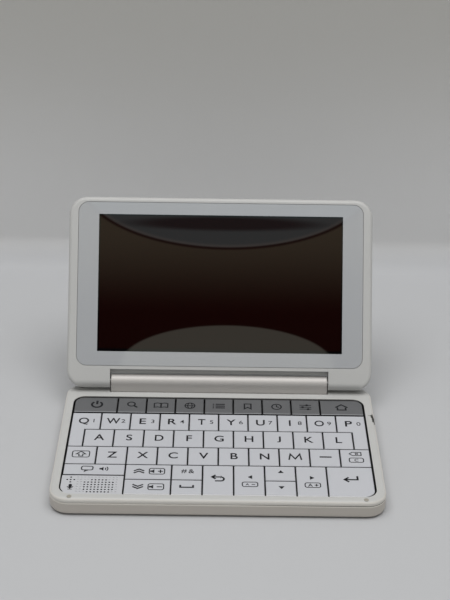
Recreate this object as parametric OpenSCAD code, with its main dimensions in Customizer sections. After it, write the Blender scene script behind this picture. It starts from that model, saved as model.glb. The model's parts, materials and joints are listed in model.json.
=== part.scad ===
// Pocket electronic dictionary: a key base and a screen lid, joined by a hinge bar with two axes.
// The origin is the middle of the base's underside. X runs to the right, Y to the back, Z up.

/* [Key field] */
// Width of one letter key and its gap
unit = 14.2; // [13.6:0.1:16]
// Depth of the row of function keys
function_pitch = 13.7; // [11:0.1:16]
// Depth of a row of letter keys
row_pitch = 14.1; // [13:0.1:16]
// Depth of a half-height key in the front row
half_pitch = 11.4; // [10.6:0.1:13]
// Depth of the voice key, which is shorter than its neighbours
voice_depth = 8.8; // [7:0.1:9.4]
// Gap between two keys
key_gap = 0.7; // [0.5:0.05:1]
// Gap between the outer keys and the case
edge_gap = 0.9; // [0.6:0.05:0.95]
// Corner radius of the key field
field_corner = 6; // [3:0.5:8]
// Thickness of a key cap
cap_t = 2.1; // [1.6:0.1:3]
// Bevel along the top edges of a cap
cap_bevel = 0.25; // [0.1:0.05:0.4]
// Bevel along the front edge of a function key
function_bevel = 0.8; // [0.3:0.1:1.2]
// How far the caps lie below the face of the case
key_recess = 0.3; // [0.1:0.05:0.8]
// Travel of a key
key_travel = 0.6; // [0.3:0.1:1]
// Radius of the stem under a cap
stem_r = 2; // [1.5:0.1:2.4]
// Clearance round a stem in its guide hole
stem_gap = 0.15; // [0.1:0.05:0.3]

/* [Base] */
// Case to the left and right of the key field
side_margin = 4.8; // [4.4:0.1:7]
// Case in front of the key field
front_margin = 4.4; // [4:0.1:8]
// Case behind the key field, which holds the hinge
rear_margin = 11.9; // [11.5:0.1:15]
// Radius of the front corners, seen from above
front_corner = 9; // [7:0.5:11]
// Radius of the rear corners, seen from above
rear_corner = 8; // [5.5:0.1:8]
// Rounding of the upper outer edge
base_top_edge = 1.6; // [0.6:0.1:2.2]
// Rounding of the lower outer edge
base_low_edge = 1.5; // [1:0.1:2.5]
// Wall of both case halves
wall = 1.8; // [1.6:0.1:2.2]
// Floor of the bottom case and of the lid's back cover
floor_t = 1.2; // [1:0.1:1.6]
// Top plate of the key base
plate_t = 1.3; // [1.1:0.1:1.6]
// Depth of the top case's skirt below its face
skirt_h = 2.4; // [2:0.1:3]
// Open line between two case halves
reveal = 0.25; // [0.1:0.05:0.4]
// Rounding of the bottom case's edge below that line
seam_edge = 0.4; // [0.1:0.05:0.6]
// Guide plate under the keys
web_t = 0.6; // [0.5:0.1:1]

/* [Inside the base] */
// Thickness of the battery
battery_t = 1.9; // [1.5:0.1:3]
// Width of the battery
battery_w = 78; // [50:1:90]
// Depth of the battery
battery_d = 46; // [30:1:56]
// Thickness of the circuit board
board_t = 0.7; // [0.6:0.1:1.2]
// Height of a key's dome switch
dome_h = 0.3; // [0.2:0.05:0.6]
// Free height between a part that moves down and what is under it
press_gap = 0.3; // [0.3:0.05:0.5]

/* [Sound grille] */
// Radius of a sound hole
hole_r = 0.45; // [0.3:0.05:0.55]
// Sideways distance of the sound holes
hole_pitch_x = 1.6; // [1.4:0.05:1.65]
// Lengthwise distance of the sound holes
hole_pitch_y = 1.8; // [1.4:0.05:1.85]
// Depth of the blind dimples that carry the pattern on
dimple_depth = 0.2; // [0.05:0.05:0.4]
// Width of the groove to the left of the sound panel
groove_w = 0.7; // [0.4:0.05:0.9]
// Depth of that groove below the panel's face
groove_depth = 0.6; // [0.3:0.05:0.7]
// Distance of the groove's end from the front of the key field
groove_rise = 1.4; // [0.5:0.1:4]

/* [Hinge] */
// Radius of the bar's rounded edges, half its thickness
bar_r = 3.4; // [3:0.1:3.6]
// Width of the bar
bar_w = 107.8; // [80:0.1:112]
// Gap at each end of the bar
bar_end_gap = 0.4; // [0.3:0.05:0.8]
// Rounding of the bar's ends
bar_edge = 0.6; // [0.3:0.1:1]
// Radius of a hinge pin
pin_r = 1.4; // [1:0.1:1.6]
// Length of a pin outside the bar
pin_reach = 4.5; // [3.5:0.1:5.5]
// Running clearance round a pin
pin_gap = 0.05; // [0.02:0.01:0.08]
// Gap between lid and base, shut or folded right round
lid_gap = 0.3; // [0.3:0.05:0.8]
// Angle at which the lid stands open
open_angle = 121.7; // [60:0.1:170]

/* [Lid] */
// Thickness of the lid
lid_t = 8.2; // [7.8:0.1:10]
// Radius of the two corners far from the hinge
lid_corner = 9; // [6:0.5:10]
// Radius of the two corners at the hinge
lid_hinge_corner = 8.5; // [5.5:0.1:9]
// Rounding round the lid's face
face_edge = 1.8; // [0.4:0.1:2.1]
// Rounding round the lid's back
back_edge = 2.6; // [1:0.1:2.7]
// Depth of the front frame's skirt
frame_h = 2.9; // [2.6:0.1:3.4]
// Notch of the front frame, past the hinge axis
frame_notch = 5.7; // [4.6:0.1:6]
// Frame to the left and right of the glass
glass_side = 4.75; // [4:0.05:6]
// Frame beyond the glass, away from the hinge
glass_top = 2.6; // [2.3:0.1:5]
// Distance from the hinge axis to the glass
glass_foot = 7.5; // [7:0.1:9]
// Corner radius of the glass
glass_corner = 5; // [3:0.5:7]
// Thickness of the touch glass
glass_t = 1; // [0.7:0.1:1.2]
// How far the glass lies below the frame's face
glass_sink = 0.05; // [0.02:0.01:0.2]
// Joint line round the glass
glass_gap = 0.2; // [0.1:0.05:0.3]
// Ledge that carries the glass
ledge_t = 1; // [0.8:0.1:1.3]

/* [Screen] */
// Width of the visible screen
screen_w = 121.8; // [100:0.1:124]
// Height of the visible screen
screen_h = 68.5; // [56:0.1:70]
// Distance from the hinge axis to the visible screen
screen_foot = 14.5; // [13.5:0.1:15]
// Rim of the screen module round its visible part
screen_rim = 2.7; // [2:0.1:3]
// Thickness of the screen module
screen_t = 3; // [2.4:0.1:3.2]

/* [Feet and ports] */
// Radius of a rubber foot
foot_r = 4; // [3:0.1:5]
// How far the feet hold the case off the table
foot_h = 0.5; // [0.4:0.1:1]
// Depth of a foot's pocket
foot_seat = 0.4; // [0.2:0.05:0.6]
// Distance of a foot from the outer sides
foot_inset = 11; // [10:0.5:14]
// Radius of a screw's pocket
screw_r = 2; // [1.5:0.1:2.4]
// Depth of a screw's pocket
screw_sink = 0.7; // [0.4:0.1:0.8]
// Radius of the headphone socket
jack_r = 1.75; // [1.6:0.05:1.8]
// Depth of the headphone socket
jack_depth = 14; // [9:0.5:14]
// Width of the charging port
port_w = 7.8; // [6:0.1:9]
// Height of the charging port
port_h = 2.6; // [2:0.1:2.8]

/* [Hidden] */
$fn = 40;
// Overlap of cuts and joins, so that no two faces lie in one plane
slack = 1;
// Clearance between two parts that are seated in each other
seat_gap = 0.05;

columns = 10;
field_w = columns * unit;
field_d = function_pitch + 3 * row_pitch + 2 * half_pitch;
base_w = field_w + 2 * side_margin;
base_d = front_margin + field_d + rear_margin;
front = -base_d / 2;
rear = base_d / 2;
field_rear = rear - rear_margin;
field_front = field_rear - field_d;

// Heights in the base, stacked from its underside up
floor_z = floor_t;
board_z = floor_z + battery_t;
dome_z = board_z + board_t + dome_h;
web_lift = 0.5;
web_z = dome_z + press_gap + web_lift;
web_top = web_z + web_t;
cap_z = web_top + key_travel + press_gap;
stem_z = dome_z + key_travel + press_gap;
key_top = cap_z + cap_t;
base_top = key_top + key_recess;
split_z = base_top - skirt_h;
plate_z = base_top - plate_t;

// Half-joint between case halves: an inner lip stands inside an outer skirt
lip_in = wall / 2 + seat_gap;
skirt_in = wall / 2;

// The two hinge axes
end_r = bar_r;
axis_set = 0.1;
axis_back = bar_r + axis_set;
pin_end_gap = 0.3;
axis_y = rear - axis_back;
lid_half = lid_t / 2;
lid_axis_z = base_top + lid_gap + lid_half;
base_axis_z = (base_top - foot_h) / 2;
notch_w = bar_w + 2 * bar_end_gap;
base_clear = 0.35;
base_notch = bar_r + base_clear;
cover_clear = 0.6;
cover_notch = bar_r + cover_clear;
pin_seat = 3;
boss_end = 1.6;
boss_w = pin_reach + boss_end;

// The lid in its own frame: hinge axis at the origin, +Y to its free edge, +Z out of its face
lid_len = base_d - axis_back;
lid_split = lid_half - frame_h;
glass_w = base_w - 2 * glass_side;
glass_h = lid_len - glass_top - glass_foot;
glass_z = lid_half - glass_sink - glass_t;
ledge_z = glass_z - ledge_t;
screen_z = glass_z - screen_t;
module_w = screen_w + 2 * screen_rim;
module_h = screen_h + 2 * screen_rim;
module_y = screen_foot - screen_rim;

// Sound grille: fixed panel in front of the voice key, two key units wide
panel_right = -field_w / 2 + 2 * unit;
panel_rear = field_rear - function_pitch - 3 * row_pitch - voice_depth;
mic_holes = [[0, 0], [1, 0], [2, 0], [1, -1], [1, 1]];
speaker_rows = [5, 9, 9, 9, 9, 7];
first_hole_inset = 2.7;
first_row_inset = 3.6;
first_hole_x = -field_w / 2 + first_hole_inset;
first_hole_y = panel_rear - first_row_inset;
speaker_column = 9;
dimple_columns = [3:14];

// One row per line: name, first column and width in units. Rows go from the back to the front.
FUNCTION_ROW = [
    for (i = [0:8]) [i == 0 ? "power" : str("function_", i), i == 0 ? 0 : i + 0.5, i % 8 == 0 ? 1.5 : 1]
];
TOP_ROW = [for (i = [0:9]) ["qwertyuiop"[i], i, 1]];
HOME_ROW = [for (i = [0:8]) ["asdfghjkl"[i], i + 0.5, 1]];
SHIFT_ROW = [for (i = [0:9]) [["shift", "z", "x", "c", "v", "b", "n", "m", "dash", "clear"][i], i, 1]];
BACK_HALF = [["page_up", 2, 1.5], ["symbol", 3.5, 1], ["up", 6.5, 1]];
FRONT_HALF = [["page_down", 2, 1.5], ["space", 3.5, 1], ["down", 6.5, 1]];
FULL = [["back", 4.5, 1], ["left", 5.5, 1], ["right", 7.5, 1], ["enter", 8.5, 1.5]];
VOICE = [["voice", 0, 2]];

// A key is [name, left, right, front, rear]
function key(k, y0, y1) = [
    str("key_", k[0]), k[1] * unit - field_w / 2, (k[1] + k[2]) * unit - field_w / 2, y0, y1
];
function row(keys, y1, depth) = [for (k = keys) key(k, y1 - depth, y1)];
y_top = field_rear - function_pitch;
y_home = y_top - row_pitch;
y_shift = y_home - row_pitch;
y_low = y_shift - row_pitch;
KEYS = concat(
    row(FUNCTION_ROW, field_rear, function_pitch),
    row(TOP_ROW, y_top, row_pitch),
    row(HOME_ROW, y_home, row_pitch),
    row(SHIFT_ROW, y_shift, row_pitch),
    row(VOICE, y_low, voice_depth),
    row(BACK_HALF, y_low, half_pitch),
    row(FRONT_HALF, y_low - half_pitch, half_pitch),
    row(FULL, y_low, 2 * half_pitch)
);

// Flat rectangle with front corners of radius r0 and rear corners of radius r1
module plan_rect(w, y0, y1, r0, r1) {
    translate([-w / 2, y0 + r0]) square([w, y1 - r1 - y0 - r0]);
    translate([r0 - w / 2, y0]) square([w - 2 * r0, r0]);
    translate([r1 - w / 2, y1 - r1]) square([w - 2 * r1, r1]);
    for (s = [-1, 1]) {
        translate([s * (w / 2 - r0), y0 + r0]) circle(r0);
        translate([s * (w / 2 - r1), y1 - r1]) circle(r1);
    }
}

// Section of a slab of width a and height h with rounded upper and lower edges
module edge_section(a, h, upper, lower) {
    translate([-a / 2, lower]) square([a, h - upper - lower]);
    translate([upper - a / 2, h - upper]) square([a - 2 * upper, upper]);
    translate([lower - a / 2, 0]) square([a - 2 * lower, lower]);
    for (s = [-1, 1]) {
        translate([s * (a / 2 - upper), h - upper]) circle(upper);
        translate([s * (a / 2 - lower), lower]) circle(lower);
    }
}

// Round corner post with the same rounded edges
module corner_post(r, h, upper, lower) {
    rotate_extrude() {
        translate([0, lower]) square([r, h - upper - lower]);
        translate([0, h - upper]) square([r - upper, upper]);
        square([r - lower, lower]);
        translate([r - upper, h - upper]) circle(upper);
        translate([r - lower, lower]) circle(lower);
    }
}

// Slab with round corners in plan, rounded above and below
module slab(w, y0, y1, r0, r1, h, upper, lower) {
    middle = (y0 + y1) / 2;
    for (s = [-1, 1]) {
        translate([s * (w / 2 - r0), y0 + r0, 0]) corner_post(r0, h, upper, lower);
        translate([s * (w / 2 - r1), y1 - r1, 0]) corner_post(r1, h, upper, lower);
    }
    translate([0, y1 - r1, 0]) rotate([90, 0, 0])
        linear_extrude(y1 - r1 - y0 - r0) edge_section(w, h, upper, lower);
    for (side = [[y0, middle, w - 2 * r0], [middle, y1, w - 2 * r1]])
        translate([-side[2] / 2, (side[0] + side[1]) / 2, 0]) rotate([90, 0, 90])
            linear_extrude(side[2]) edge_section(side[1] - side[0], h, upper, lower);
}

// Long prism along X, from y0 to a hinge end at y1 that is rounded by end_r, z from z0 to z1
module hinge_end(y0, y1, z0, z1) {
    rotate([90, 0, 90]) translate([0, 0, -base_w]) linear_extrude(2 * base_w) {
        translate([y0, z0]) square([y1 - end_r - y0, z1 - z0]);
        translate([y0, z0 + end_r]) square([y1 - y0, z1 - z0 - 2 * end_r]);
        for (z = [z0 + end_r, z1 - end_r]) translate([y1 - end_r, z]) circle(end_r);
    }
}

// Everything between two heights
module between(z0, z1) {
    translate([-base_w, -base_w, z0]) cube([2 * base_w, 2 * base_w, z1 - z0]);
}

// Outline of the base, drawn in by inset on all sides, with the hinge notch left open
module base_plan(inset) {
    difference() {
        plan_rect(base_w - 2 * inset, front + inset, rear - inset,
                  front_corner - inset, rear_corner - inset);
        translate([-notch_w / 2 - inset, axis_y - base_notch - inset])
            square([notch_w + 2 * inset, rear_margin + slack]);
    }
}

// Solid outer form of the base, from the height z0 to a top at z1 whose edge is rounded
module base_form(z0, z1, edge) {
    difference() {
        intersection() {
            slab(base_w, front, rear, front_corner, rear_corner, z1, edge, base_low_edge);
            hinge_end(front - slack, rear, 0, base_top);
            between(z0, z1 + slack);
        }
        translate([-notch_w / 2, axis_y - base_notch, -slack])
            cube([notch_w, rear_margin + slack, base_top + 2 * slack]);
    }
}

// Outline of the key field, grown or drawn in by out
module field_plan(out) {
    plan_rect(field_w + 2 * out, field_front - out, field_rear + out,
              field_corner + out - edge_gap, field_corner + out - edge_gap);
}

// The four places of the rubber feet
module at_feet() {
    for (x = [-1, 1], y = [front + foot_inset, rear - foot_inset])
        translate([x * (base_w / 2 - foot_inset), y, 0]) children();
}

module bottom_case() {
    jack_wall = 0.85;
    jack_cover = 1.15;
    jack_clear = 1.35;
    jack_y = field_rear + key_gap + jack_clear + jack_wall + jack_r;
    jack_z = split_z - jack_cover - jack_r;
    post_r = 1.6;
    post_inset = 4;
    color("gainsboro") difference() {
        union() {
            difference() {
                base_form(-slack, split_z, seam_edge);
                translate([0, 0, floor_z]) linear_extrude(base_top) base_plan(wall);
            }
            // Lip inside the top case's skirt
            translate([0, 0, floor_z]) linear_extrude(plate_z - floor_z) difference() {
                base_plan(lip_in);
                base_plan(wall);
            }
            // Bosses that carry the hinge pins
            for (s = [-1, 1]) translate([s * (notch_w + boss_w) / 2, 0, 0]) intersection() {
                translate([-boss_w / 2, axis_y - bar_r, floor_z - slack / 2])
                    cube([boss_w, 2 * bar_r, split_z - floor_z + slack / 2]);
                hinge_end(front, rear, 0, base_top);
            }
            // Housing of the headphone socket
            translate([lip_in - base_w / 2, jack_y - jack_r - jack_wall, floor_z - slack / 2])
                cube([jack_depth, 2 * (jack_r + jack_wall), split_z - floor_z + slack / 2]);
            // Posts under the circuit board, clear of the battery
            for (x = [-1, -0.5, 0, 0.5, 1], y = [field_front + post_inset, field_rear - post_inset])
                translate([x * (field_w / 2 - unit / 2), y, floor_z - slack / 2])
                    cylinder(r = post_r, h = battery_t + slack / 2);
        }
        for (s = [-1, 1]) translate([s * (notch_w / 2 - slack), axis_y, base_axis_z])
            rotate([0, 90 * s, 0]) cylinder(r = pin_r + pin_gap, h = pin_reach + pin_end_gap + slack);
        translate([-base_w / 2 - slack, jack_y, jack_z]) rotate([0, 90, 0])
            cylinder(r = jack_r, h = jack_depth + slack);
        translate([-base_w / 2 - slack, y_top - port_w / 2, board_z - port_h / 2])
            cube([wall + 2 * slack, port_w, port_h]);
        at_feet() translate([0, 0, -slack]) cylinder(r = foot_r + seat_gap, h = foot_seat + slack);
        for (x = [-1, 1], y = [-1, 1])
            translate([x * base_w / 4, y * (base_d / 2 - foot_inset), -slack])
                cylinder(r = screw_r, h = screw_sink + slack);
    }
}

module top_case() {
    well = wall * 2 / 3;
    color("gainsboro") difference() {
        union() {
            difference() {
                base_form(split_z + reveal, base_top, base_top_edge);
                linear_extrude(plate_z) base_plan(skirt_in);
            }
            // Wall round the keys and the guide plate under them
            translate([0, 0, web_z]) linear_extrude(plate_z - web_z + seat_gap)
                field_plan(edge_gap - key_gap / 2 + well);
        }
        // Key opening, which stops at the sound panel
        difference() {
            translate([0, 0, web_top]) linear_extrude(base_top) field_plan(edge_gap - key_gap / 2);
            sound_panel();
        }
        // Guide holes
        for (k = KEYS) stem_at(k) translate([0, 0, -slack])
            cylinder(r = stem_r + stem_gap, h = base_top + 2 * slack);
        translate([0, 0, web_z - slack]) linear_extrude(key_top - plate_t - web_z + slack)
            panel_plan(-well);
        panel_groove();
        sound_holes();
    }
}

// Outline of the sound panel, grown by out, or drawn in where out is negative
module panel_plan(out) {
    edge = field_w / 2 + edge_gap - key_gap / 2;
    translate([-edge - out, field_front - edge_gap + key_gap / 2 - out])
        square([panel_right - key_gap / 2 + edge + 2 * out,
                panel_rear - key_gap / 2 - field_front + edge_gap - key_gap / 2 + 2 * out]);
}

// Fixed panel level with the key caps
module sound_panel() {
    translate([0, 0, web_z]) linear_extrude(key_top - web_z) panel_plan(0);
}

// Groove that carries the key opening's left edge on, past the sound panel
module panel_groove() {
    edge = edge_gap - key_gap / 2;
    translate([0, 0, key_top - groove_depth]) linear_extrude(base_top) intersection() {
        difference() {
            field_plan(edge);
            field_plan(edge - groove_w);
        }
        translate([-field_w / 2 - edge_gap, field_front + groove_rise])
            square([unit, panel_rear - field_front]);
    }
}

// True where the speaker's pattern is drilled right through
function is_drilled(column, r) =
    r >= 0 && abs(column - speaker_column) <= (speaker_rows[r] - 1) / 2;

module sound_holes() {
    for (h = mic_holes) sound_hole(h[0], h[1], web_top);
    for (r = [-1:len(speaker_rows) - 1], column = dimple_columns)
        sound_hole(column, r, is_drilled(column, r) ? web_top : key_top - dimple_depth);
}

// A hole in the sound panel that ends at the height z
module sound_hole(column, r, z) {
    translate([first_hole_x + column * hole_pitch_x, first_hole_y - r * hole_pitch_y, z])
        cylinder(r = hole_r, h = base_top, $fn = 16);
}

// The place of a key's stem: the middle of its cap
module stem_at(k) {
    translate([(k[1] + k[2]) / 2, (k[3] + k[4]) / 2, 0]) children();
}

module circuit_board() {
    board_clear = 1.6;
    board_in = wall + board_clear;
    board_corner = 2;
    dome_rim = 0.5;
    speaker_t = 1.4;
    speaker_inset = 2;
    socket_depth = 7.4;
    socket_nose = 2.4;
    socket_wall = 0.4;
    socket_h = port_h - 4 * seat_gap;
    port_x = board_in - base_w / 2;
    color("darkslategray") {
        translate([0, 0, board_z]) linear_extrude(board_t) difference() {
            plan_rect(base_w - 2 * board_in, front + board_in, field_rear + key_gap / 2,
                      front_corner - board_in, board_corner);
            translate([port_x - slack, y_top - port_w / 2 - seat_gap])
                square([socket_depth - socket_nose + slack, port_w + 2 * seat_gap]);
        }
        for (k = KEYS) stem_at(k) translate([0, 0, board_z])
            cylinder(r = stem_r + dome_rim, h = board_t + dome_h, $fn = 20);
        // Speaker and microphone under the sound panel
        translate([-field_w / 2 + 3 * speaker_inset, field_front + speaker_inset, board_z])
            cube([2 * unit - 5 * speaker_inset, panel_rear - field_front - 3 * speaker_inset,
                  board_t + speaker_t]);
        // Charging socket, let into the edge of the board
        translate([port_x - socket_nose, y_top - port_w / 2, board_z - socket_h / 2]) difference() {
            cube([socket_depth, port_w, socket_h]);
            translate([-slack, socket_wall, socket_wall])
                cube([socket_depth / 2 + slack, port_w - 2 * socket_wall, socket_h - 2 * socket_wall]);
        }
    }
}

module battery_pack() {
    color("dimgray") translate([-battery_w / 2, (field_front + field_rear - battery_d) / 2, floor_z])
        cube([battery_w, battery_d, battery_t]);
}

module rubber_feet() {
    foot_edge = 0.3;
    color("dimgray") at_feet() translate([0, 0, -foot_h]) rotate_extrude() {
        square([foot_r - foot_edge, foot_h + foot_seat]);
        translate([0, foot_edge]) square([foot_r, foot_h + foot_seat - foot_edge]);
        translate([foot_r - foot_edge, foot_edge]) circle(foot_edge);
    }
}

// Rod along X with rounded rims, the form of each long edge of the bar
module bar_rod() {
    rotate([0, 90, 0]) translate([0, 0, -bar_w / 2])
        corner_post(bar_r, bar_w, bar_edge, bar_edge);
}

// Children at the four pins, turned so that +Z points out of the bar's end
module at_pins() {
    for (z = [base_axis_z, lid_axis_z], s = [-1, 1])
        translate([s * bar_w / 2, axis_y, z]) rotate([0, 90 * s, 0]) children();
}

module hinge_bar() {
    color("silver") difference() {
        union() {
            for (z = [base_axis_z, lid_axis_z]) translate([0, axis_y, z]) bar_rod();
            translate([0, 0, base_axis_z]) linear_extrude(lid_axis_z - base_axis_z)
                plan_rect(bar_w, axis_y - bar_r, axis_y + bar_r, bar_edge, bar_edge);
        }
        at_pins() translate([0, 0, -pin_seat]) cylinder(r = pin_r, h = pin_seat + slack);
    }
}

module hinge_pins() {
    color("lightsteelblue") at_pins() translate([0, 0, -pin_seat])
        cylinder(r = pin_r, h = pin_seat + bar_end_gap + pin_reach);
}

// Turns the lid's own frame to where the lid stands
module lid_place() {
    translate([0, axis_y, lid_axis_z]) rotate([180 - open_angle, 0, 0]) children();
}

// Outline of the lid, drawn in by inset, with a notch that ends depth past the hinge axis
module lid_plan(inset, depth) {
    difference() {
        plan_rect(base_w - 2 * inset, inset - axis_back, lid_len - inset,
                  lid_hinge_corner - inset, lid_corner - inset);
        lid_notch(inset, depth);
    }
}

module lid_notch(inset, depth) {
    translate([-notch_w / 2 - inset, -axis_back - slack])
        square([notch_w + 2 * inset, axis_back + slack + depth + inset]);
}

// Solid outer form of the lid between two heights
module lid_form(z0, z1, depth) {
    difference() {
        intersection() {
            translate([0, 0, -lid_half])
                slab(base_w, -axis_back, lid_len, lid_hinge_corner, lid_corner, lid_t,
                     face_edge, back_edge);
            mirror([0, 1, 0]) hinge_end(-lid_len - slack, axis_back, -lid_half, lid_half);
            between(z0, z1);
        }
        translate([0, 0, -lid_t]) linear_extrude(2 * lid_t) lid_notch(0, depth);
    }
}

module lid_back_cover() {
    inner_z = floor_t - lid_half;
    boss_top = ledge_z - seat_gap;
    screen_post_r = 2;
    screen_post_inset = 10;
    color("gainsboro") lid_place() difference() {
        union() {
            difference() {
                lid_form(-lid_t, lid_split, cover_notch);
                translate([0, 0, inner_z]) linear_extrude(lid_t) lid_plan(wall, frame_notch);
            }
            // Lip inside the front frame's skirt
            translate([0, 0, inner_z]) linear_extrude(ledge_z - inner_z) difference() {
                lid_plan(lip_in, frame_notch);
                lid_plan(wall, frame_notch);
            }
            // Bosses that carry the hinge pins, stepped in where the front frame's skirt begins
            for (s = [-1, 1]) intersection() {
                translate([s * (notch_w + boss_w) / 2 - boss_w / 2, -bar_r, inner_z - slack / 2])
                    cube([boss_w, 2 * bar_r, boss_top - inner_z + slack / 2]);
                mirror([0, 1, 0]) hinge_end(-lid_len, axis_back, -lid_half, lid_half);
                union() {
                    between(-lid_t, lid_split);
                    translate([0, 0, -lid_t]) linear_extrude(2 * lid_t) lid_plan(lip_in, frame_notch);
                }
            }
            // Posts that press the screen module against the glass
            for (x = [-1, 0, 1], y = [screen_post_inset, module_h - screen_post_inset])
                translate([x * (module_w / 2 - screen_post_inset), module_y + y, inner_z - slack / 2])
                    cylinder(r = screen_post_r, h = screen_z - inner_z + slack / 2);
        }
        for (s = [-1, 1]) translate([s * (notch_w / 2 - slack), 0, 0]) rotate([0, 90 * s, 0])
            cylinder(r = pin_r + pin_gap, h = pin_reach + pin_end_gap + slack);
    }
}

module lid_front_frame() {
    color("gainsboro") lid_place() difference() {
        lid_form(lid_split + reveal, lid_t, frame_notch);
        translate([0, 0, -lid_half]) linear_extrude(ledge_z + lid_half) lid_plan(skirt_in, frame_notch);
        translate([0, 0, glass_z]) linear_extrude(lid_half)
            plan_rect(glass_w + 2 * glass_gap, glass_foot - glass_gap, glass_foot + glass_h + glass_gap,
                      glass_corner + glass_gap, glass_corner + glass_gap);
        translate([-module_w / 2 - glass_gap, module_y - glass_gap, -lid_half])
            cube([module_w + 2 * glass_gap, module_h + 2 * glass_gap, lid_t]);
    }
}

module touch_glass() {
    color("darkgray") lid_place() translate([0, 0, glass_z]) linear_extrude(glass_t)
        plan_rect(glass_w, glass_foot, glass_foot + glass_h, glass_corner, glass_corner);
}

module screen_module() {
    color("black") lid_place() translate([-module_w / 2, module_y, screen_z])
        cube([module_w, module_h, screen_t]);
}

// Block with bevelled upper edges, and a wider bevel in front where asked
module cap_block(x0, x1, y0, y1, front_bevel) {
    hull() {
        translate([x0, y0, cap_z]) cube([x1 - x0, y1 - y0, cap_t - front_bevel]);
        translate([x0, y0 + front_bevel, cap_z])
            cube([x1 - x0, y1 - y0 - front_bevel, cap_t - cap_bevel]);
        translate([x0 + cap_bevel, y0 + front_bevel, cap_z])
            cube([x1 - x0 - 2 * cap_bevel, y1 - y0 - front_bevel - cap_bevel, cap_t]);
    }
}

module key_cap(k) {
    g = key_gap / 2;
    is_function = k[4] == field_rear;
    color(is_function ? "dimgray" : "whitesmoke") {
        stem_at(k) translate([0, 0, stem_z]) cylinder(r = stem_r, h = cap_z - stem_z + slack / 2);
        intersection() {
            union() {
                cap_block(k[1] + g, k[2] - g, k[3] + g, k[4] - g,
                          is_function ? function_bevel : cap_bevel);
                // The first and last letter keys run down beside the home row
                if (k[0] == "key_q") cap_block(k[1] + g, k[1] + unit / 2 - g, y_shift + g, k[4] - unit / 2,
                                               cap_bevel);
                if (k[0] == "key_p") cap_block(k[2] - unit / 2 + g, k[2] - g, y_shift + g, k[4] - unit / 2,
                                               cap_bevel);
            }
            translate([0, 0, cap_z]) linear_extrude(cap_t) field_plan(-g);
        }
    }
}

bottom_case();
top_case();
circuit_board();
battery_pack();
rubber_feet();
hinge_bar();
hinge_pins();
lid_back_cover();
lid_front_frame();
touch_glass();
screen_module();
for (k = KEYS) key_cap(k);
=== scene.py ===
# Looks of the pocket electronic dictionary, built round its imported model. Metres, in the model's own frame.
import json
import math

import bmesh
import bpy
from mathutils import Matrix, Vector


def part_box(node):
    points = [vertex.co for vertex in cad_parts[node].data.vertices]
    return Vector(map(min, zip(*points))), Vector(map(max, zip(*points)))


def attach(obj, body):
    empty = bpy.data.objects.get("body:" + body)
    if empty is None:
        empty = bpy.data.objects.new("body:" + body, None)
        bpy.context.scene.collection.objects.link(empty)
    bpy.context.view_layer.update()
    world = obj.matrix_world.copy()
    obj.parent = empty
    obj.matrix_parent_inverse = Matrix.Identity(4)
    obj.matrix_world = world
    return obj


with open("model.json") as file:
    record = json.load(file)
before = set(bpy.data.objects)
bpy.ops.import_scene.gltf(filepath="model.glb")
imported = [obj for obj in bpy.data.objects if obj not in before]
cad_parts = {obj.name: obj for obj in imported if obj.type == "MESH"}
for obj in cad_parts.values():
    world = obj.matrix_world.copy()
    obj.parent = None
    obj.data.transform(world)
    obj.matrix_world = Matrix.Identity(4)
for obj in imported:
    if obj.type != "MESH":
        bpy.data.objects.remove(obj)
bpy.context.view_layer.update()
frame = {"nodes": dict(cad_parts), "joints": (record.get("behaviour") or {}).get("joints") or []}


# Camera. It stands where the photograph was taken from, 0.67 m away and looking down at 29 degrees.
# The long side of the picture is 36 mm on its sensor, with no shift and everything in focus.
MM = 0.001
camera_place = Vector((-1.1, -546.3, 386.9)) * MM
pitch, yaw, roll = (math.radians(angle) for angle in (28.98, -0.33, 0.92))
lens = bpy.data.cameras.new("camera")
lens.lens = 83.75
camera = bpy.data.objects.new("camera", lens)
camera.matrix_world = (
    Matrix.Translation(camera_place)
    @ Matrix.Rotation(yaw, 4, "Z")
    @ Matrix.Rotation(math.pi / 2 - pitch, 4, "X")
    @ Matrix.Rotation(roll, 4, "Z")
)
bpy.context.scene.collection.objects.link(camera)
bpy.context.scene.camera = camera
bpy.context.scene.view_settings.view_transform = "Standard"


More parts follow.
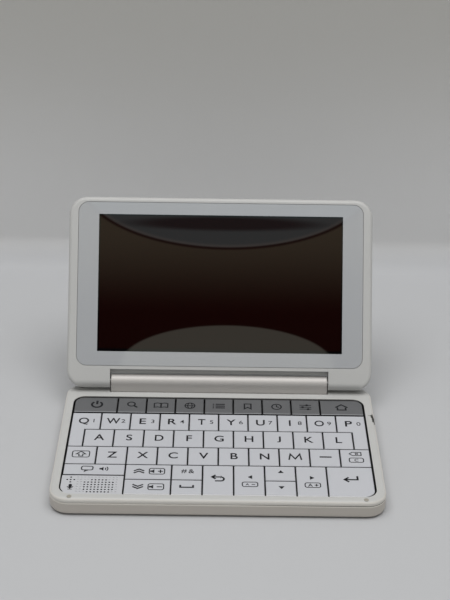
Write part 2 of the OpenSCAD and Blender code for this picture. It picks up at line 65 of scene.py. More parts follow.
# Table and wall. One sheet of pale card lies on the table and bends up into the wall behind it.
# It is matt and a cool near-white where it lies; on the wall its colour is painted light, palest low
# down and greyer higher up. It isn't part of the object.
class Wire:
    """A socket in a material's node tree. Sums of wires and numbers add Math nodes."""

    def __init__(self, tree, socket=None):
        self.tree = tree
        self.socket = socket

    def node(self, kind, settings=(), sockets=(), out=0):
        """Adds a node with these settings, then gives its sockets their values or links."""
        made = self.tree.nodes.new("ShaderNode" + kind)
        for name, value in dict(settings).items():
            setattr(made, name, value)
        for name, value in dict(sockets).items():
            if isinstance(value, Wire):
                self.tree.links.new(value.socket, made.inputs[name])
            else:
                made.inputs[name].default_value = value
        return Wire(self.tree, made.outputs[out])

    def sum(self, operation, *values):
        return self.node("Math", {"operation": operation}, dict(enumerate(values)))

    def __add__(self, other):
        return self.sum("ADD", self, other)

    __radd__ = __add__

    def __sub__(self, other):
        return self.sum("SUBTRACT", self, other)

    def __rsub__(self, other):
        return self.sum("SUBTRACT", other, self)

    def __mul__(self, other):
        return self.sum("MULTIPLY", self, other)

    __rmul__ = __mul__

    def __truediv__(self, other):
        return self.sum("DIVIDE", self, other)

    def __gt__(self, other):
        return self.sum("GREATER_THAN", self, other)

    def __lt__(self, other):
        return self.sum("LESS_THAN", self, other)

    def __abs__(self):
        return self.sum("ABSOLUTE", self)

    def rise(self, low, high):
        """0 at low, 1 at high, and a smooth step between. Low may be the larger number."""
        ends = {"Value": self, "From Min": low, "From Max": high}
        return self.node("MapRange", {"interpolation_type": "SMOOTHSTEP"}, ends)

    def blend(self, first, second):
        """The first colour where this mask is 0, the second where it is 1."""
        return self.node("Mix", {"data_type": "RGBA"}, {0: self, 6: first, 7: second}, 2)

    def noise(self, size, detail=2.0):
        """Noise about 0.5 whose spots are about this size, in metres."""
        return self.node("TexNoise", {}, {"Vector": self, "Scale": 1 / size, "Detail": detail})

    def parts(self):
        """The x, y and z of a place."""
        return [self.node("SeparateXYZ", {}, {0: self}, axis) for axis in range(3)]

    def bump(self, depth):
        """A normal from this height, 0 to 1, times a depth in metres."""
        return self.node("Bump", {}, {"Height": self, "Distance": depth, "Strength": 1.0})


def shade(red, green, blue):
    """A colour from its usual 0 to 255 numbers."""
    linear = [
        part / 12.92 if part <= 0.04045 else ((part + 0.055) / 1.055) ** 2.4
        for part in (red / 255, green / 255, blue / 255)
    ]
    return (*linear, 1.0)


def material(name, finish):
    """A material; finish(place) gives its shader's sockets, with place in the model's frame."""
    made = bpy.data.materials.new(name)
    made.use_nodes = True
    tree = made.node_tree
    shader = tree.nodes["Principled BSDF"]
    place = Wire(tree).node("TexCoord", out="Object")
    for socket, value in finish(place).items():
        if isinstance(value, Wire):
            tree.links.new(value.socket, shader.inputs[socket])
        else:
            shader.inputs[socket].default_value = value
    return made


def new_object(name, mesh, finish):
    """An object of this mesh in this material, at the model's origin."""
    made = bpy.data.objects.new(name, mesh)
    bpy.context.scene.collection.objects.link(made)
    made.data.materials.append(finish)
    return made


def card(place):
    height = place.parts()[2]
    # Painted light: the wall is palest just above the fold and greyer higher up
    painted_lit_low_wall = height.rise(2 * MM, 15 * MM).blend(shade(187, 188, 190), shade(216, 216, 216))
    return {
        "Base Color": height.rise(30 * MM, 170 * MM).blend(painted_lit_low_wall, shade(188, 187, 183)),
        "Roughness": 0.9,
        "Specular IOR Level": 0.1,
        "Normal": place.noise(0.0015).bump(0.00003),
    }


table_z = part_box("rubber_feet")[0].z
fold_y = 0.2
fold_radius = 0.016
fold_steps = 12
wall_height = 1.2
card_reach = 6.0
profile = [(-card_reach, table_z), (fold_y - fold_radius, table_z)]
for step in range(1, fold_steps + 1):
    turn = step / fold_steps * math.pi / 2
    curve_y = fold_y - fold_radius + fold_radius * math.sin(turn)
    profile.append((curve_y, table_z + fold_radius * (1 - math.cos(turn))))
profile.append((fold_y, wall_height))
sweep = bmesh.new()
rows = [[sweep.verts.new((x, y, z)) for x in (-card_reach, card_reach)] for y, z in profile]
for near, far in zip(rows, rows[1:]):
    sweep.faces.new((near[0], near[1], far[1], far[0])).smooth = True
# The table goes on behind the wall. From there the wall is clear, so the object shows from all sides.
behind_wall = [sweep.verts.new((x, card_reach, table_z)) for x in (-card_reach, card_reach)]
sweep.faces.new((rows[1][0], rows[1][1], behind_wall[1], behind_wall[0]))
card_mesh = bpy.data.meshes.new("table_card")
sweep.to_mesh(card_mesh)
pale_card = material("pale_card", card)
card_tree = pale_card.node_tree
card_face = Wire(card_tree, card_tree.nodes["Principled BSDF"].outputs[0])
card_back = Wire(card_tree).node("NewGeometry", out="Backfacing")
open_behind = Wire(card_tree).node(
    "MixShader", {}, {0: card_back, 1: card_face, 2: Wire(card_tree).node("BsdfTransparent")}
)
card_tree.links.new(open_behind.socket, card_tree.nodes["Material Output"].inputs["Surface"])
new_object("table_card", card_mesh, pale_card)


# Light. A wide soft lamp hangs over the table in a plain grey room with a paler ceiling.
# Behind the camera the room is dim, as the lid's glass mirrors it: a warm glow that fades downwards,
# a cool arch above it with a dark rim, and a pale round screen low down.
lamp = bpy.data.lights.new("soft_lamp", "AREA")
lamp.shape = "RECTANGLE"
lamp.size, lamp.size_y = 1.2, 0.85
lamp.energy = 12.1
lamp_object = bpy.data.objects.new("soft_lamp", lamp)
lamp_object.location = (0, -0.06, 1.15)
bpy.context.scene.collection.objects.link(lamp_object)

room = bpy.data.worlds.new("room")
bpy.context.scene.world = room
room.use_nodes = True
way = Wire(room.node_tree).node("TexCoord", out="Generated")
way_x, way_y, way_z = way.parts()
walls_and_ceiling = way_z.rise(0.5, 0.8) * 0.12 + way_z.rise(0.45, 0.05) * 0.07 + 0.34

# Where on the glass the camera sees each way of the room mirrored, in mm across and along the lid
lid_joint = next(joint for joint in frame["joints"] if joint["name"] == "lid_turn")
lid_hinge = Vector(lid_joint["pos_m"])
lid_lean = math.radians(lid_joint["range_deg"][1])
lid_up = Vector((0, math.cos(lid_lean), math.sin(lid_lean)))
lid_face = Vector((0, -lid_up.z, lid_up.y))
glass_face = 4.05 * MM
camera_height = lid_face.dot(camera_place - lid_hinge) - glass_face
camera_along = lid_up.dot(camera_place - lid_hinge)
towards_face = way_y * lid_face.y + way_z * lid_face.z
across_glass = way_x / towards_face * (camera_height / MM) + camera_place.x / MM
along_glass = (way_y * lid_up.y + way_z * lid_up.z) / towards_face * (camera_height / MM)
along_glass = along_glass + camera_along / MM


def oval(middle, half_width, half_height, soft=0.03):
    """1 inside an oval on the glass, in mm, and 0 outside it."""
    off_x = (across_glass - middle[0]) / half_width
    off_along = (along_glass - middle[1]) / half_height
    return 1 - (off_x * off_x + off_along * off_along).rise(1 - soft, 1 + soft)


arch_middle = (2.5, 98.9)
glow = along_glass.rise(32, 78).blend((0, 0, 0, 1), (0.48, 0.44, 0.3, 1))
rim = oval(arch_middle, 73, 33.1).blend(glow, (0.06, 0.06, 0.05, 1))
arch_line = oval(arch_middle, 71, 31.8).blend(rim, (0.8, 0.8, 0.75, 1))
arch = oval(arch_middle, 70, 30.8, 0.06).blend(arch_line, (0.45, 0.57, 0.58, 1))
streak = oval((2, 78.8), 46, 3.4, 0.6).blend(arch, (0.1, 0.14, 0.15, 1))
low_screen = oval((4, 8), 53, 20, 0.04).blend(streak, (0.72, 0.73, 0.6, 1))
behind_camera = towards_face.rise(0.93, 0.975)
room_colour = behind_camera.blend(walls_and_ceiling, low_screen)
room.node_tree.links.new(room_colour.socket, room.node_tree.nodes["Background"].inputs["Color"])


# Case halves. The base's two shells and the lid's two are moulded in one warm white plastic with a
# satin skin. Low on the base it is painted paler and warmer, as painted light. The well under the keys and
# the inside of the holes are painted black as shade, so the gaps between the keys read as dark lines.
seam_height = 6.4 * MM


def satin_white(place):
    x, _, height = place.parts()
    cloud = place.noise(0.03, 3.0).blend(shade(186, 186, 184), shade(190, 190, 188))
    # Painted light: the rim's turn and the lip above the seam are paler and warmer, the lip brightest as a
    # painted highlight, and the low side warmer as light thrown up from the table
    painted_turn_and_lip_light = height.rise(7.0 * MM, 6.3 * MM).blend(shade(211, 208, 202), shade(228, 224, 216))
    painted_side_light = height.rise(5.9 * MM, 5.6 * MM).blend(painted_turn_and_lip_light, shade(196, 190, 182))
    colour = height.rise(8.75 * MM, 8.25 * MM).blend(cloud, painted_side_light)
    # The seam between the base's shells is painted darker, as shade in its groove, more towards the right
    painted_seam_shade = (abs(height - seam_height) < 0.16 * MM) * x.rise(5 * MM, 40 * MM) * 0.9
    return {
        "Base Color": painted_seam_shade.blend(colour, shade(90, 86, 80)),
        "Roughness": 0.42 + 0.08 * place.noise(0.012, 4.0),
        "Normal": place.noise(0.00025).bump(0.000004),
    }


power_low, power_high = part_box("key_power")
voice_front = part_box("key_voice")[0].y
key_top = power_high.z
outer_gap = 0.95 * MM
well_left = power_low.x - outer_gap
well_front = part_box("key_enter")[0].y + 0.3 * MM
well_rear = power_high.y + outer_gap
panel_rear = voice_front - 0.5 * MM
panel_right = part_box("key_page_down")[0].x - 0.5 * MM
dimple_depth = 0.23 * MM
rim_turn = 8.5 * MM
hole_pitch_x, hole_pitch_y = 1.6 * MM, 1.8 * MM
speaker_x = power_low.x + 16.75 * MM
speaker_rear_row = voice_front - 3.95 * MM
wear_x, wear_y = 75.2 * MM, 18.6 * MM
wear_half_width, wear_half_length = 0.9 * MM, 4.2 * MM


def white_with_painted_well_shade(place):
    x, y, z = place.parts()
    sockets = satin_white(place)
    # The well under the keys' tops is painted black as shade, and the upper part of its rear wall is painted
    # grey as the light it catches
    inside = (abs(x) < -well_left) * (y > well_front) * (y < well_rear)
    painted_well_shade = inside * (z < key_top - 0.05 * MM)
    painted_lit_rear_wall = (y > well_rear - outer_gap + 0.1 * MM) * (z > key_top - 1.2 * MM)
    # The sound panel is as cool a white as the keys
    panel = (x > well_left + 0.6 * MM) * (x < panel_right) * (y > well_front - outer_gap)
    panel = panel * (y < panel_rear) * (z < key_top + 0.1 * MM)
    # The speaker's drilled rows have 5, 9, 9, 9, 9 and 7 holes; what lies round them is only dimpled
    columns_off = abs(x - speaker_x) / hole_pitch_x
    row = (speaker_rear_row - y) / hole_pitch_y
    drilled = (columns_off < 2.5) * (row > -0.5) * (row < 0.5)
    drilled = drilled + (columns_off < 4.5) * (row > 0.5) * (row < 4.5) + (columns_off < 3.5) * (row > 4.5)
    microphone = x < speaker_x - 6.5 * hole_pitch_x
    dimples = panel * (z > key_top - dimple_depth) * (1 - drilled - microphone)
    painted_well_shade = painted_well_shade * (1 - dimples)
    colour = panel.blend(sockets["Base Color"], shade(190, 191, 195))
    # The gap in front of the keys is painted near-white right down, as painted light against its shade
    painted_light_front_gap = (y < well_front) * (y > well_front - 1.3 * MM) * (abs(x) < -well_left)
    painted_light_front_gap = painted_light_front_gap * (z < key_top - 0.1 * MM) * (z > 5 * MM)
    colour = painted_light_front_gap.blend(colour, shade(245, 245, 245))
    painted_well_light_and_shade = painted_lit_rear_wall.blend(shade(14, 14, 15), shade(96, 96, 96))
    colour = painted_well_shade.blend(colour, painted_well_light_and_shade)
    # A worn mark on the right edge of the rim, with a faint scratch beside it
    along_edge = (y - wear_y) / wear_half_length
    from_edge = (x - wear_x) / wear_half_width + along_edge * 0.6
    ragged = place.noise(0.0011, 5.0) * 5 - 2.5
    mark = along_edge * along_edge + from_edge * from_edge + z.rise(8.6 * MM, 7.6 * MM) + ragged < 1.1
    scratch = (abs(y - 22 * MM) < 0.4 * MM) * (abs(x - 73.7 * MM) < 0.9 * MM) * (z > rim_turn)
    colour = scratch.blend(colour, shade(150, 150, 148))
    sockets["Base Color"] = mark.blend(colour, shade(42, 40, 37))
    return sockets


def dress(finish, *nodes):
    """Gives these nodes of the model one material."""
    for node in nodes:
        slots = frame["nodes"][node].data.materials
        slots.clear()
        slots.append(finish)


case_white = material("satin_white_plastic", satin_white)
dress(case_white, "bottom_case", "lid_back_cover", "lid_front_frame")
dress(material("satin_white_top", white_with_painted_well_shade), "top_case")


# Hinge bar and its pins. The bar is a plastic moulding in silver pearl paint, and the pins are turned
# steel, pressed into the bar so that they turn in the bosses of base and lid.
def silver_pearl(place):
    flake = place.noise(0.00018)
    return {
        "Base Color": flake.blend(shade(190, 186, 182), shade(202, 199, 196)),
        "Metallic": 0.3,
        "Roughness": 0.52 + 0.06 * flake,
        "Normal": flake.bump(0.000003),
    }


def turned_steel(place):
    rings = place.noise(0.0002)
    return {
        "Base Color": rings.blend(shade(150, 150, 150), shade(185, 185, 185)),
        "Metallic": 1.0,
        "Roughness": 0.3 + 0.15 * rings,
    }


dress(material("silver_pearl_paint", silver_pearl), "hinge_bar")
dress(material("turned_steel", turned_steel), "hinge_pins")


# Touch glass and screen. The glass is printed grey on its back round a clear window, with the dark
# screen bonded behind it. Places on it are measured across the lid and along it from the hinge axis.
window_half = 60.9 * MM
window_near, window_far = 14.5 * MM, 83.0 * MM
dark_rim = 0.7 * MM


def printed_glass(place):
    x, y, z = place.parts()
    along = (y - lid_hinge.y) * lid_up.y + (z - lid_hinge.z) * lid_up.z
    # Behind the window the screen has a black rim round its faintly red picture
    window = (abs(x) < window_half) * (along > window_near) * (along < window_far)
    picture = (abs(x) < window_half - dark_rim) * (along > window_near + 2 * dark_rim)
    picture = picture * (along < window_far - dark_rim)
    border = place.noise(0.02, 3.0).blend(shade(171, 173, 176), shade(175, 177, 179))
    screen = picture.blend(shade(6, 6, 7), shade(22, 6, 5))
    return {
        "Base Color": window.blend(border, screen),
        "Roughness": 0.6,
        "Specular IOR Level": 0.0,
        "Coat Weight": 1.0,
        "Coat Roughness": 0.01,
    }


def screen_edge(place):
    edge = place.noise(0.004).blend(shade(20, 20, 21), shade(30, 30, 31))
    return {"Base Color": edge, "Roughness": 0.5}


dress(material("printed_glass", printed_glass), "touch_glass")
dress(material("screen_edge", screen_edge), "screen_module")


# Keys. Each cap is moulded in cool white plastic, painted black low on its sides as shade deep in the gaps.
# The rear row is painted dark silver, with painted shade low on its sides and a painted highlight where
# its front edge is cut back.
def cap_white(place):
    x, y, z = place.parts()
    # Painted shade low between the keys and beside the sound panel, painted light along the very front
    painted_gap_shade = (z < key_top - 0.4 * MM) * (y > well_front)
    painted_lit_front = (z < key_top - 0.1 * MM) * (y < well_front)
    painted_shade_beside_panel = (abs(y - voice_front) < 0.25 * MM) * (x < panel_right) * (z < key_top - 0.06 * MM)
    colour = place.noise(0.02, 2.0).blend(shade(188, 190, 195), shade(192, 193, 198))
    colour = painted_lit_front.blend(colour, shade(240, 240, 242))
    colour = painted_gap_shade.blend(colour, shade(30, 30, 32))
    return {
        "Base Color": painted_shade_beside_panel.blend(colour, shade(14, 14, 15)),
        "Roughness": 0.36 + 0.08 * place.noise(0.01, 4.0),
        "Normal": place.noise(0.0002).bump(0.000003),
    }


def cap_silver(place):
    _, y, z = place.parts()
    # Painted shade low on the sides, and a painted highlight along the front edge
    painted_gap_shade = z < key_top - 0.22 * MM
    flake = place.noise(0.00015)
    paint = flake.blend(shade(104, 105, 107), shade(119, 120, 122))
    painted_edge_highlight = (z < key_top - 0.03 * MM) * (y < power_low.y + 1.0 * MM)
    paint = painted_edge_highlight.blend(paint, shade(160, 161, 164))
    return {
        "Base Color": painted_gap_shade.blend(paint, shade(16, 16, 18)),
        "Metallic": 0.35 * (1 - painted_gap_shade),
        "Roughness": 0.4 + 0.05 * flake + 0.4 * painted_gap_shade,
        "Specular IOR Level": 0.1,
        "Normal": flake.bump(0.000003),
    }


keys = sorted(node for node in frame["nodes"] if node.startswith("key_"))
rear_keys = [key for key in keys if key == "key_power" or key.startswith("key_function_")]
dress(material("white_caps", cap_white), *(key for key in keys if key not in rear_keys))
dress(material("silver_caps", cap_silver), *rear_keys)


# Legends. Dark grey ink, screen-printed on the caps: plain letters and digits, and plain signs for the
# other keys. Every legend is one thin solid that moves with its key.
def ink_grey(place):
    ink = place.noise(0.001).blend(shade(18, 18, 22), shade(28, 28, 32))
    return {"Base Color": ink, "Roughness": 0.6, "Specular IOR Level": 0.2}


ink_finish = material("dark_grey_ink", ink_grey)
ink_thickness = 0.02 * MM
letter_height, letter_weight = 4.8, 0.014
digit_height, digit_weight = 3.0, 0.004
line = 0.72
thin_line = 0.5


def stroke(ink, points, width=line, closed=False):
    """Draws a line through these points, in mm, with mitred corners that stay short."""
    sharpest = 0.35
    points = [Vector(point) for point in points]
    count = len(points)
    edges = []
    for index, point in enumerate(points):
        ways = []
        if closed or index > 0:
            ways.append((point - points[index - 1]).normalized())
        if closed or index < count - 1:
            ways.append((points[(index + 1) % count] - point).normalized())
        way = sum(ways, Vector((0, 0))).normalized()
        side = Vector((-way.y, way.x)) * (width / 2 / max(sharpest, way.dot(ways[0])))
        edges.append([ink.verts.new((*(point + side), 0)), ink.verts.new((*(point - side), 0))])
    for index in range(count if closed else count - 1):
        here, there = edges[index], edges[(index + 1) % count]
        ink.faces.new((here[1], there[1], there[0], here[0]))


def patch(ink, points):
    """Fills an outline, in mm."""
    ink.faces.new([ink.verts.new((*point, 0)) for point in points])


def arc(x, y, radius, start, end):
    """Points on a circle from one angle to another, in degrees."""
    steps = max(4, round(abs(end - start) / 15))
    turns = [math.radians(start + (end - start) * step / steps) for step in range(steps + 1)]
    return [(x + radius * math.cos(turn), y + radius * math.sin(turn)) for turn in turns]


def ring(x, y, radius):
    """Points right round a circle."""
    return arc(x, y, radius, 0, 360)[:-1]


def rounded_box(x, y, width, height, radius=1.0):
    """Points round a box with round corners, about a middle point."""
    points = []
    for turn, right, up in ((0, 1, 1), (90, -1, 1), (180, -1, -1), (270, 1, -1)):
        middle_x = x + right * (width / 2 - radius)
        middle_y = y + up * (height / 2 - radius)
        points += arc(middle_x, middle_y, radius, turn, turn + 90)
    return points


# How much wider than the plain font's these letters are printed
stretch = {"W": 0.88, "T": 0.89, "O": 0.88, "Q": 0.94, "D": 0.92, "E": 1.1, "P": 1.1, "R": 1.06}


def letters(ink, words, x, y, height, weight):
    """Sets plain letters or digits of this height and boldness, about a middle point."""
    capital_height = 0.70
    font = bpy.data.curves.new("letters", "FONT")
    font.body = words
    font.offset = weight
    holder = bpy.data.objects.new("letters", font)
    mesh = bpy.data.meshes.new_from_object(holder)
    places = [vertex.co for vertex in mesh.vertices]
    left, right = min(co.x for co in places), max(co.x for co in places)
    low, high = min(co.y for co in places), max(co.y for co in places)
    # The tail of the Q hangs below the line of the other letters
    tall = capital_height if words == "Q" else high - low
    low = high - tall
    wide = height / capital_height * stretch.get(words, 1)
    mesh.transform(
        Matrix.Translation((x, y, 0))
        @ Matrix.Diagonal((wide, height / tall, 1, 1))
        @ Matrix.Translation((-(left + right) / 2, -(low + high) / 2, 0))
    )
    ink.from_mesh(mesh)
    bpy.data.meshes.remove(mesh)
    bpy.data.objects.remove(holder)


def printed(name, ink, x, y, z, body):
    """Lays the ink on a level face at this place, in metres, and lets it ride on a body."""
    mesh = bpy.data.meshes.new(name)
    ink.to_mesh(mesh)
    mesh.transform(Matrix.Translation((x, y, z)) @ Matrix.Diagonal((MM, MM, MM, 1)))
    made = new_object(name, mesh, ink_finish)
    body_of_ink = made.modifiers.new("thickness", "SOLIDIFY")
    body_of_ink.thickness = ink_thickness
    body_of_ink.offset = 1.0
    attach(made, body)


def speaker_sign(ink, x, y, waves=0):
    horn = [(-1.5, -0.6), (-0.6, -0.6), (0.4, -1.5), (0.4, 1.5), (-0.6, 0.6), (-1.5, 0.6)]
    patch(ink, [(x + off_x, y + off_y) for off_x, off_y in horn])
    for wave in range(waves):
        stroke(ink, arc(x + 0.2, y, 1.2 + 1.0 * wave, -42, 42), 0.5)


def power_sign(ink):
    stroke(ink, arc(0.5, 0.4, 2.5, 125, 415), 1.05)
    stroke(ink, [(0.5, 0.6), (0.5, 3.7)], 1.05)


def search_sign(ink):
    stroke(ink, ring(-0.4, 1.1, 1.8), closed=True)
    stroke(ink, [(0.9, -0.2), (2.6, -1.8)], 1.0)


def book_sign(ink):
    for side in (-1, 1):
        page = [(0, -1.5), (side * 1.7, -1.1), (side * 3.3, -1.5)]
        page += [(side * 3.3, 2.0), (side * 1.7, 2.4), (0, 2.0)]
        stroke(ink, page, 0.6, True)


def globe_sign(ink):
    stroke(ink, ring(0, 0.3, 2.4), 0.6, True)
    stroke(ink, [(math.copysign(1, x) * abs(x) * 0.45, y) for x, y in arc(0, 0.3, 2.4, 90, 450)], 0.5)
    stroke(ink, [(-2.4, 0.3), (2.4, 0.3)], 0.5)


def list_sign(ink):
    for y in (-1.3, 0.3, 1.9):
        stroke(ink, [(-1.6, y), (3.0, y)], 0.85)
        stroke(ink, [(-3.0, y), (-2.3, y)], 0.85)


def bookmark_sign(ink):
    stroke(ink, [(-1.6, -1.9), (0, -0.5), (1.6, -1.9), (1.6, 2.5), (-1.6, 2.5)], 0.7, True)


def clock_sign(ink):
    stroke(ink, ring(0, 0.3, 2.3), 0.65, True)
    stroke(ink, [(0, 1.8), (0, 0.3), (1.2, -0.2)], 0.6)


def slider_sign(ink):
    for y, knob in ((-1.4, 1.2), (0.3, -1.4), (2.0, 0.7)):
        stroke(ink, [(-2.9, y), (2.9, y)], 0.55)
        patch(ink, ring(knob, y, 0.75))


def house_sign(ink):
    stroke(ink, [(-3.0, 0.4), (0, 2.8), (3.0, 0.4)], 0.85)
    stroke(ink, [(-2.0, 0.4), (-2.0, -1.8), (2.0, -1.8), (2.0, 0.4)], 0.85)


def shift_sign(ink):
    stroke(ink, rounded_box(0, 0.5, 7.9, 4.9), thin_line, True)
    head = [(0, 2.6), (2.2, 0.5), (0.9, 0.5), (0.9, -1.1), (-0.9, -1.1), (-0.9, 0.5), (-2.2, 0.5)]
    stroke(ink, head, thin_line, True)


def m_sign(ink):
    stroke(ink, [(-2.6, -2.1), (-1.9, 2.5), (0.3, -1.3), (2.5, 2.5), (3.2, -2.1)], 0.75)


def dash_sign(ink):
    stroke(ink, [(-2.5, 0.5), (3.1, 0.5)], 0.95)


def clear_sign(ink):
    stroke(ink, [(-2.7, 3.3), (-1.3, 4.6), (2.8, 4.6), (2.8, 2.0), (-1.3, 2.0)], 0.5, True)
    for turn in (-1, 1):
        stroke(ink, [(0.0, 3.3 - 0.6 * turn), (1.4, 3.3 + 0.6 * turn)], 0.5)
    stroke(ink, rounded_box(0.3, -1.7, 6.6, 3.4), thin_line, True)
    letters(ink, "C", 0.3, -1.7, 2.0, 0.016)


def voice_sign(ink):
    stroke(ink, rounded_box(-3.2, 0.9, 5.2, 2.9, 0.9), 0.55, True)
    stroke(ink, [(-4.0, -0.6), (-4.3, -1.7), (-2.7, -0.6)], 0.5)
    speaker_sign(ink, 3.9, 0.5, 2)


def chevrons(ink, x, y, up):
    for shift in (-0.8, 0.8):
        tip = (x, y + shift + up * 0.7)
        stroke(ink, [(x - 2.4, y + shift - up * 0.7), tip, (x + 2.4, y + shift - up * 0.7)], 0.8)


def page_up_sign(ink):
    chevrons(ink, -4.2, 0.4, 1)
    stroke(ink, rounded_box(4.0, 0.4, 7.0, 4.4), thin_line, True)
    speaker_sign(ink, 2.4, 0.4)
    stroke(ink, [(4.4, 0.4), (6.8, 0.4)], 0.6)
    stroke(ink, [(5.6, -0.9), (5.6, 1.7)], 0.6)


def page_down_sign(ink):
    chevrons(ink, -4.2, 0.1, -1)
    stroke(ink, rounded_box(4.0, 0.0, 7.0, 4.4), thin_line, True)
    speaker_sign(ink, 2.4, 0.0)
    stroke(ink, [(4.4, 0.0), (6.8, 0.0)], 0.6)


def symbol_sign(ink):
    letters(ink, "#", -1.4, 0.7, 3.0, 0.01)
    letters(ink, "&", 2.0, 0.7, 3.0, 0.01)


def space_sign(ink):
    stroke(ink, [(-2.8, 1.6), (-2.8, -0.1), (3.0, -0.1), (3.0, 1.6)], 0.85)


def back_sign(ink):
    stroke(ink, [(-2.4, 2.3), (1.2, 2.3)], 0.85)
    stroke(ink, [(1.2, 2.3), *arc(1.2, 0.8, 1.5, 90, -90), (-1.4, -0.7)], 0.85)
    stroke(ink, [(-1.1, 3.8), (-2.8, 2.3), (-1.1, 0.8)], 0.85)


def pointer(ink, x, y, right, up):
    """A filled arrow head that points one way."""
    long, half = 2.1, 1.4
    tip = (x + right * long / 2, y + up * long / 2)
    base_x, base_y = x - right * long / 2, y - up * long / 2
    corners = [(base_x - side * up * half, base_y + side * right * half) for side in (1, -1)]
    patch(ink, [tip, *corners])


def left_sign(ink):
    pointer(ink, 0.3, 2.5, -1, 0)
    stroke(ink, rounded_box(0.3, -3.0, 7.0, 3.4), thin_line, True)
    letters(ink, "A", -0.9, -3.0, 1.6, 0.014)
    stroke(ink, [(1.0, -3.0), (2.6, -3.0)], 0.5)


def right_sign(ink):
    pointer(ink, 0.3, 2.5, 1, 0)
    stroke(ink, rounded_box(0.3, -3.0, 7.0, 3.4), thin_line, True)
    letters(ink, "A", -0.8, -3.0, 2.2, 0.014)
    stroke(ink, [(1.1, -3.0), (2.9, -3.0)], 0.5)
    stroke(ink, [(2.0, -3.9), (2.0, -2.1)], 0.5)


def up_sign(ink):
    pointer(ink, 0.3, 1.3, 0, 1)


def down_sign(ink):
    pointer(ink, 0.3, 0.5, 0, -1)


def enter_sign(ink):
    stroke(ink, [(3.2, 4.2), (3.2, 1.5), (-2.6, 1.5)], 0.9)
    stroke(ink, [(-0.8, 3.2), (-2.8, 1.5), (-0.8, -0.2)], 0.9)


signs = {
    "power": power_sign,
    "shift": shift_sign,
    "m": m_sign,
    "dash": dash_sign,
    "clear": clear_sign,
    "voice": voice_sign,
    "page_up": page_up_sign,
    "page_down": page_down_sign,
    "symbol": symbol_sign,
    "space": space_sign,
    "back": back_sign,
    "left": left_sign,
    "right": right_sign,
    "up": up_sign,
    "down": down_sign,
    "enter": enter_sign,
}
function_signs = [
    search_sign, book_sign, globe_sign, list_sign, bookmark_sign, clock_sign, slider_sign, house_sign
]
for number, sign in enumerate(function_signs, 1):
    signs[f"function_{number}"] = sign

top_row, digits = "qwertyuiop", "1234567890"
w_low, w_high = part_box("key_w")
for key in keys:
    name = key.removeprefix("key_")
    low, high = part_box(key)
    x, y = (low.x + high.x) / 2, (low.y + high.y) / 2
    ink = bmesh.new()
    if name in signs:
        signs[name](ink)
    elif name in top_row:
        y = (w_low.y + w_high.y) / 2
        letters(ink, name.upper(), -1.1, 0.1, letter_height, letter_weight)
        letters(ink, digits[top_row.index(name)], 3.7, 0.1, digit_height, digit_weight)
    else:
        letters(ink, name.upper(), 0.3, 0.3, letter_height, letter_weight)
    printed("legend_" + name, ink, x, y, high.z, key)


# Microphone sign. It is printed in the same ink on the sound panel, below the microphone's five holes,
# and rides on the base because the panel is part of the top case.
microphone_x, microphone_y = -66.5 * MM, -38.3 * MM
ink = bmesh.new()
patch(ink, rounded_box(0, 0.9, 1.5, 2.6, 0.7))
stroke(ink, arc(0, 0.7, 1.35, 195, 345), 0.45)
stroke(ink, [(0, -0.5), (0, -1.6)], 0.5)
stroke(ink, [(-1.0, -1.7), (1.0, -1.7)], 0.45)
printed("legend_microphone", ink, microphone_x, microphone_y, key_top, "base")


# Lid cushions. Two small domes of clear soft plastic, stuck on the base's front rim,
# keep the shut lid off the case.
def lathe(name, profile, places, finish, body):
    """Turned pieces of one profile, (radius, height) in mm, at several places, as one object."""
    turned = bmesh.new()
    steps = 32
    for place in places:
        rings = []
        for radius, height in profile:
            turns = [2 * math.pi * step / steps for step in range(steps)]
            points = [Vector((radius * math.cos(a), radius * math.sin(a), height)) for a in turns]
            rings.append([turned.verts.new(place + point * MM) for point in points])
        for lower, upper in zip(rings, rings[1:]):
            for step in range(steps):
                after = (step + 1) % steps
                band = turned.faces.new((lower[step], lower[after], upper[after], upper[step]))
                band.smooth = True
        turned.faces.new(list(reversed(rings[0])))
        turned.faces.new(rings[-1])
    bmesh.ops.recalc_face_normals(turned, faces=turned.faces)
    mesh = bpy.data.meshes.new(name)
    turned.to_mesh(mesh)
    made = new_object(name, mesh, finish)
    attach(made, body)
    return made


def soft_clear(place):
    return {
        "Base Color": place.noise(0.001).blend(shade(146, 142, 132), shade(162, 158, 148)),
        "Roughness": 0.3,
    }


rim_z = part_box("top_case")[1].z
cushion_x, cushion_y = 66.2 * MM, -45.6 * MM
cushion_places = [Vector((x, cushion_y, rim_z)) for x in (-cushion_x, cushion_x)]
cushion_profile = [(1.15, -0.05), (1.1, 0.06), (0.85, 0.14), (0.5, 0.19), (0.1, 0.2)]
clear_finish = material("soft_clear", soft_clear)
cushions = lathe("lid_cushions", cushion_profile, cushion_places, clear_finish, "base")


# Underside. Four matt rubber feet are stuck in their pockets, and a cross-head screw is sunk in each of
# four more pockets. The screws are zinc-plated steel and hold the two case halves together.
def foot_rubber(place):
    return {
        "Base Color": place.noise(0.0006).blend(shade(92, 92, 92), shade(108, 108, 107)),
        "Roughness": 0.85,
        "Normal": place.noise(0.0003).bump(0.00001),
    }


dress(material("foot_rubber", foot_rubber), "rubber_feet")
case_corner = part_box("bottom_case")[1]
screw_x = case_corner.x / 2
screw_y = case_corner.y - 11 * MM
pocket_top = 0.7
screw_places = [Vector((x, y, 0)) for x in (-screw_x, screw_x) for y in (-screw_y, screw_y)]
screw_profile = [(1.75, pocket_top), (1.75, 0.35), (1.6, 0.22), (1.3, 0.15), (0.02, 0.12)]
screws = lathe("screw_heads", screw_profile, screw_places, material("zinc_screw", turned_steel), "base")
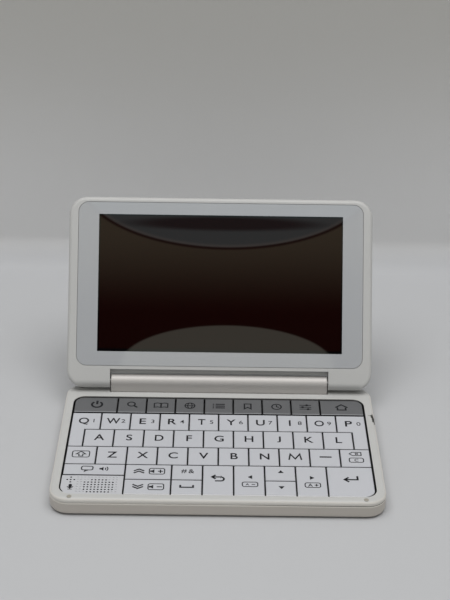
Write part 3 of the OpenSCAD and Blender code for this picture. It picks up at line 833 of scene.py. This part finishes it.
# Each screw's cross is cut as two crossing slots, whose ends draw in towards their floor
slot_width, slot_length, slot_height, slot_middle = 0.45, 1.9, 0.8, 0.1
floor_share = 0.4
cross = bmesh.new()
for place in screw_places:
    for wide, deep in ((slot_width, slot_length), (slot_length, slot_width)):
        made = bmesh.ops.create_cube(cross, size=1.0)
        for vertex in made["verts"]:
            slope = 1.0 if vertex.co.z < 0 else floor_share
            vertex.co.x *= wide * slope if wide > deep else wide
            vertex.co.y *= deep * slope if deep > wide else deep
            height = slot_middle + vertex.co.z * slot_height
            vertex.co = place + Vector((vertex.co.x, vertex.co.y, height)) * MM
cross_mesh = bpy.data.meshes.new("screw_crosses")
cross.to_mesh(cross_mesh)
cutter = bpy.data.objects.new("screw_crosses", cross_mesh)
bpy.context.scene.collection.objects.link(cutter)
recess = screws.modifiers.new("cross", "BOOLEAN")
recess.operation = "DIFFERENCE"
recess.object = cutter
bpy.context.view_layer.update()
cut_mesh = bpy.data.meshes.new_from_object(screws.evaluated_get(bpy.context.evaluated_depsgraph_get()))
screws.modifiers.clear()
screws.data = cut_mesh
bpy.data.objects.remove(cutter)


# Inside the base. A green lacquered board with steel dome switches and a steel charging socket at its
# left edge lies over a battery in dark wrapping. Only the socket shows, through the case's opening.
dome_low, dome_high = 3.9 * MM, 4.2 * MM
socket_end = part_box("circuit_board")[0].x + 8 * MM


def lacquered_board(place):
    x, _, z = place.parts()
    socket = x < socket_end
    dome = (z > dome_low) * (z < dome_high)
    metal = socket.sum("MAXIMUM", socket, dome)
    tracks = place.noise(0.0012, 0.0).rise(0.48, 0.52)
    lacquer = tracks.blend(shade(28, 74, 48), shade(36, 92, 60))
    return {
        "Base Color": metal.blend(lacquer, shade(170, 170, 168)),
        "Metallic": metal,
        "Roughness": 0.35,
    }


def battery_wrap(place):
    wrap = place.noise(0.004).blend(shade(50, 50, 54), shade(62, 62, 66))
    return {"Base Color": wrap, "Roughness": 0.45}


dress(material("lacquered_board", lacquered_board), "circuit_board")
dress(material("battery_wrap", battery_wrap), "battery_pack")
